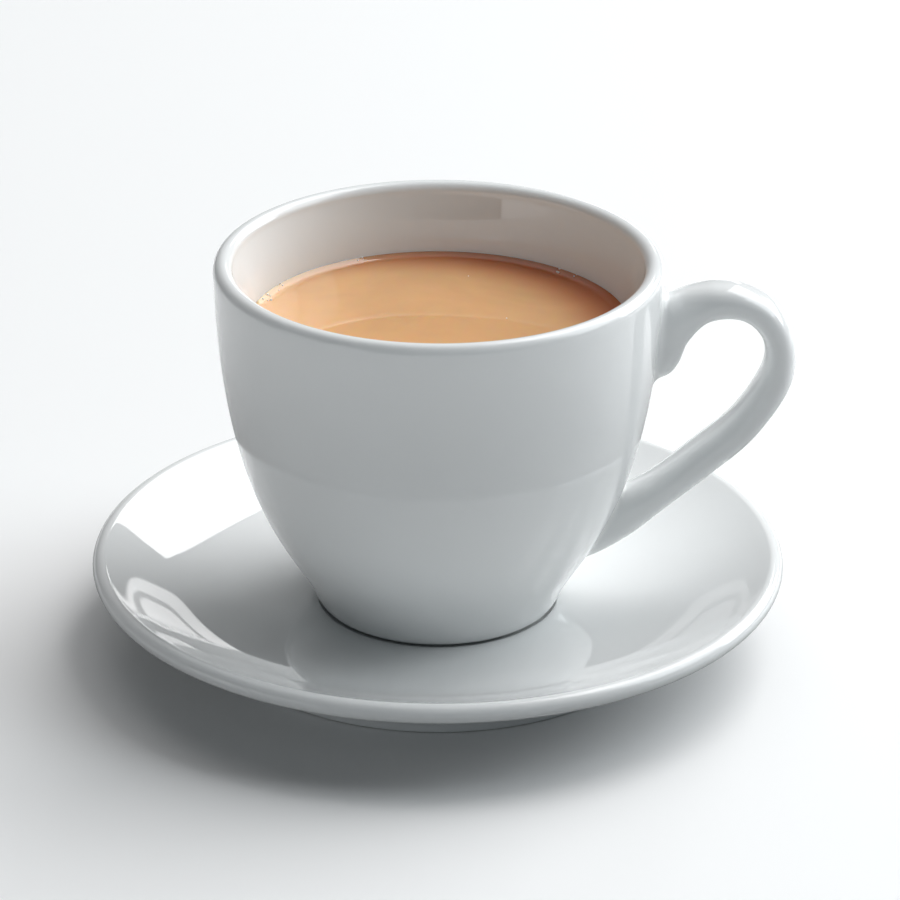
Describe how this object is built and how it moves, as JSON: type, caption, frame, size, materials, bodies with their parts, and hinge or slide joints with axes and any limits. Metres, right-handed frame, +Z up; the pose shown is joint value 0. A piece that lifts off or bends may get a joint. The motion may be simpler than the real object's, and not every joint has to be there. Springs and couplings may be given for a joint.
{
  "type": "cup of coffee",
  "caption": "Filled coffee cup on its saucer: round glazed porcelain cup with an ear-shaped handle, milky coffee to just below the rim, and a round dished saucer.",
  "frame": {"origin": "on the table under the middle of the saucer and the cup, at the level that the saucer's foot ring stands on", "axes": "+Z up along the axis of the cup and saucer, +X from the axis towards the cup's handle, -Y towards the viewer who has the handle on the right"},
  "size_m": [0.1411, 0.14, 0.0812],
  "materials": {
    "saucer_glaze": "smooth white glaze, glossy",
    "cup_glaze": "smooth white glaze, glossy",
    "coffee": "opaque milky coffee with a still, glossy surface"
  },
  "bodies": {
    "root": {"saucer": "saucer_glaze", "cup": "cup_glaze", "coffee": "coffee"}
  },
  "joints": []
}
